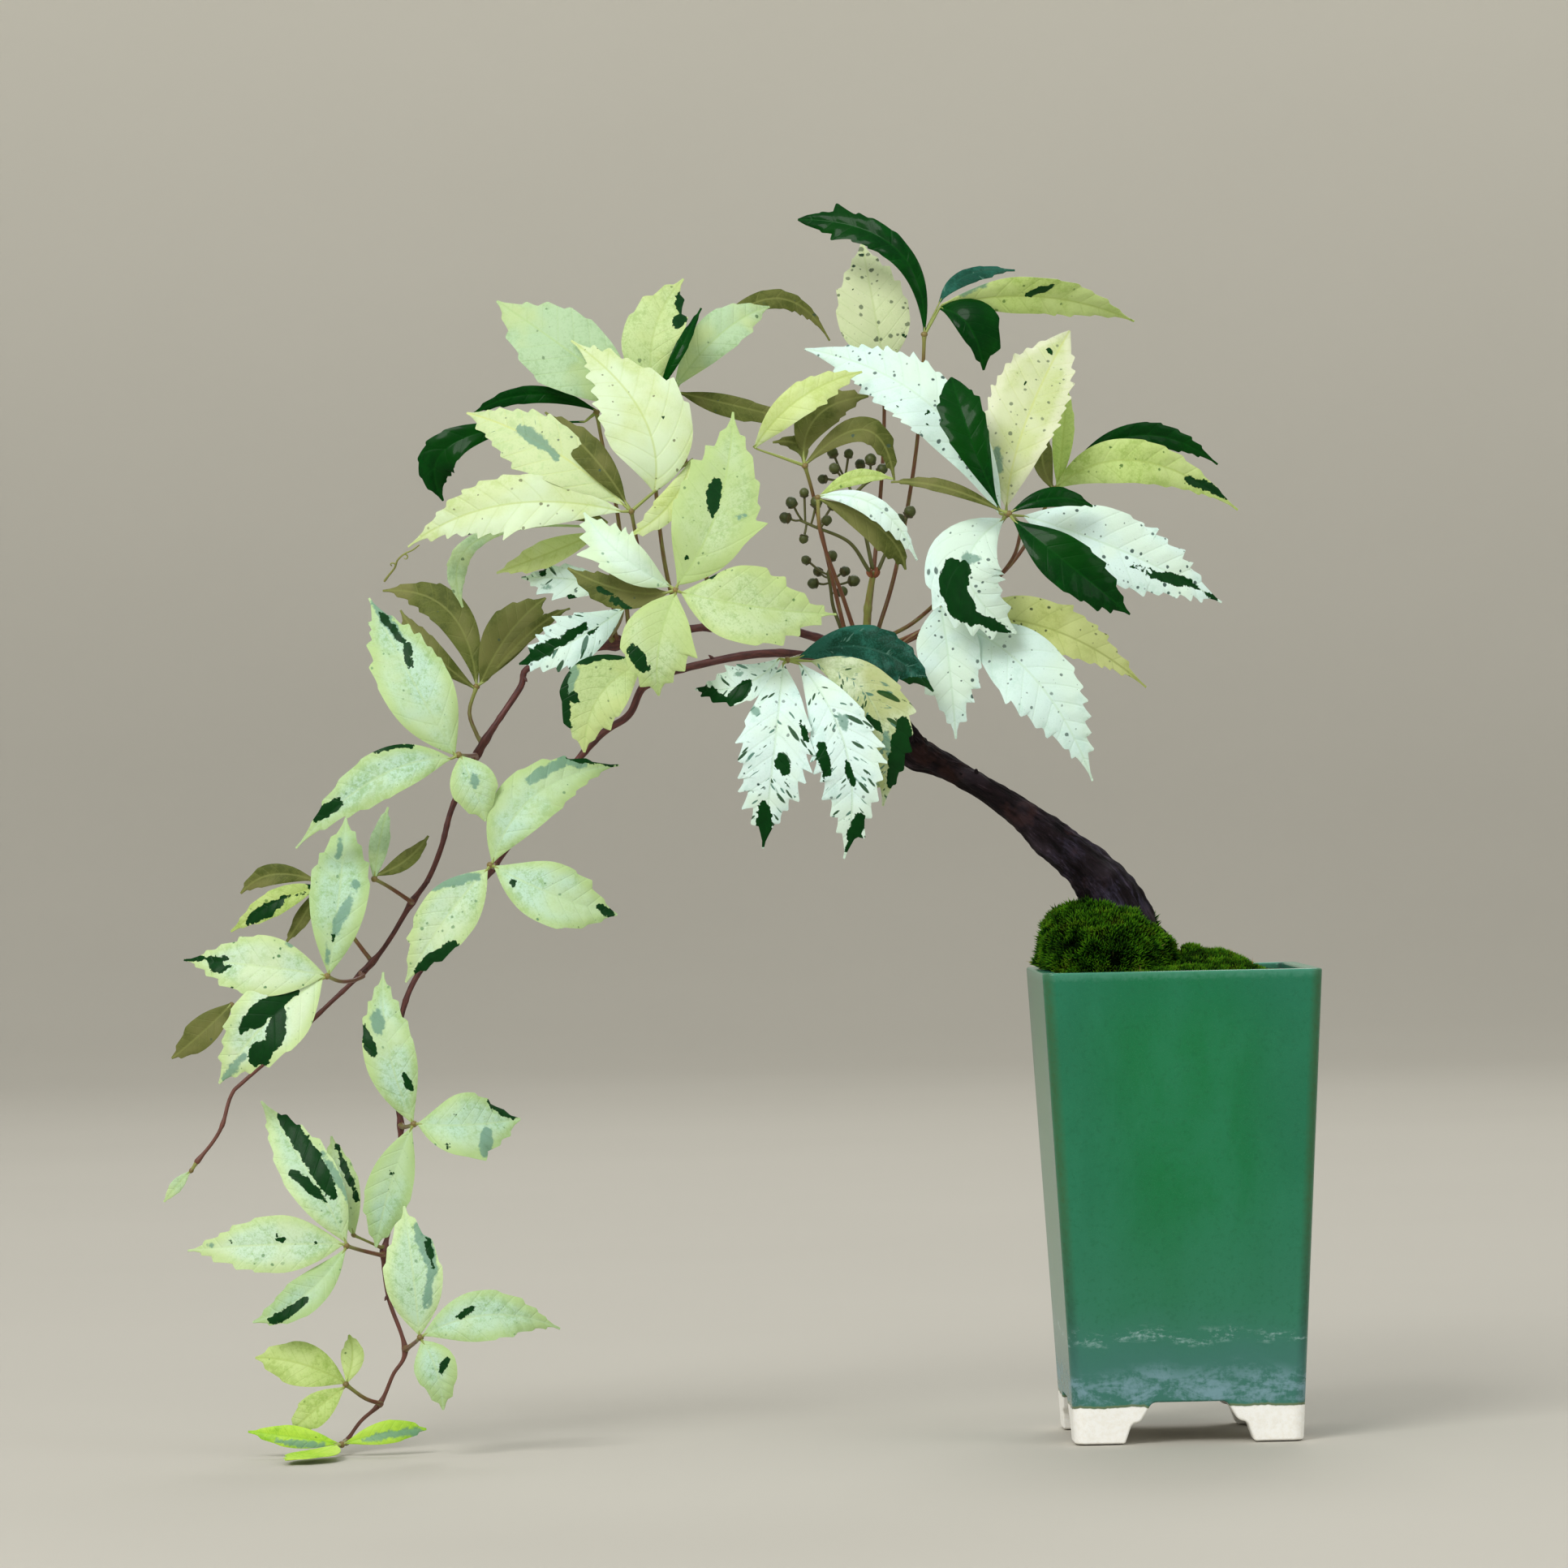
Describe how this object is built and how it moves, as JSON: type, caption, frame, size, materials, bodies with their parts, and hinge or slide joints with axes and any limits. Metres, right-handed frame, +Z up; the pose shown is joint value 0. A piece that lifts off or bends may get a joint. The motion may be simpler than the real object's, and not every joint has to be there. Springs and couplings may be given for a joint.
{
  "type": "cascade bonsai in a pot",
  "caption": "Cascade creeper bonsai: variegated palmate leaves on thin arching stems, a bent trunk rising from a moss mound in a tall tapered square glazed pot on arched feet.",
  "frame": {"origin": "bottom centre of the whole plant's bounding box, on the surface that the pot's feet stand on", "axes": "+Z up; +Y away from the front face of the pot; +X to the right, with the pot at the +X end and the cascade hanging towards -X"},
  "size_m": [0.272, 0.0784, 0.2905],
  "materials": {
    "green_glaze": "glossy green glaze over stoneware, bare cream clay at the feet",
    "potting_mix": "matt granular soil mix",
    "black_plastic": "matt black plastic screen",
    "clip_wire": "soft bonsai wire",
    "moss": "soft short upright moss",
    "bark": "dark purple-brown bark with paler grey streaks",
    "stem_bark": "thin maroon-brown bark",
    "petiole_skin": "smooth reddish-olive skin",
    "bud": "smooth dark olive flower buds",
    "leaf_dark_green": "glossy dark green leaf",
    "leaf_white_speckled": "pale mint and white leaf with few dark green specks",
    "leaf_white_patched": "creamy white leaf with dark green and grey-green patches",
    "leaf_mottled": "pale green leaf finely mottled with darker green",
    "leaf_olive": "olive green leaf underside",
    "leaf_cream": "cream-yellow leaf with fine specks",
    "leaf_yellow_green": "yellow-green leaf",
    "leaf_lime": "bright lime leaf"
  },
  "bodies": {
    "root": {"pot": "green_glaze", "soil": "potting_mix", "drain_mesh": "black_plastic", "mesh_clip": "clip_wire", "moss_mound": "moss", "moss_carpet": "moss", "trunk": "bark", "stem_upper": "stem_bark", "stem_lower": "stem_bark", "crown_shoot": "petiole_skin", "tendril": "petiole_skin", "flower_buds_top": "bud", "flower_buds_left": "bud", "flower_buds_low": "bud", "flower_buds_right": "bud", "leaf_top": "leaf_dark_green", "leaf_top_cream": "leaf_cream", "leaf_white_big": "leaf_white_speckled", "leaf_dark_right": "leaf_dark_green", "leaf_arching_right": "leaf_white_speckled", "leaf_white_low": "leaf_white_patched", "leaf_patched": "leaf_white_patched", "leaf_mottled_big": "leaf_mottled", "leaf_cream_left": "leaf_cream", "leaf_dark_left": "leaf_dark_green", "leaf_yellow_mid": "leaf_yellow_green", "leaf_pale_top": "leaf_mottled", "leaf_pale_back": "leaf_mottled", "leaf_folded": "leaf_yellow_green", "leaf_crescent": "leaf_white_speckled", "leaf_olive_left": "leaf_olive", "leaf_speckled": "leaf_cream", "leaf_teal": "leaf_dark_green", "leaf_mottled_left": "leaf_mottled", "leaf_mottled_mid": "leaf_mottled", "leaf_small_olive": "leaf_olive", "leaf_mottled_far": "leaf_mottled", "leaf_olive_back": "leaf_olive", "leaf_olive_far": "leaf_olive", "leaf_cascade_a": "leaf_mottled", "leaf_cascade_b": "leaf_mottled", "leaf_cascade_back": "leaf_olive", "leaf_cascade_c": "leaf_mottled", "leaf_yellow_low": "leaf_yellow_green", "leaf_lime_low": "leaf_lime", "leaf_tip_bud": "leaf_lime"}
  },
  "joints": []
}
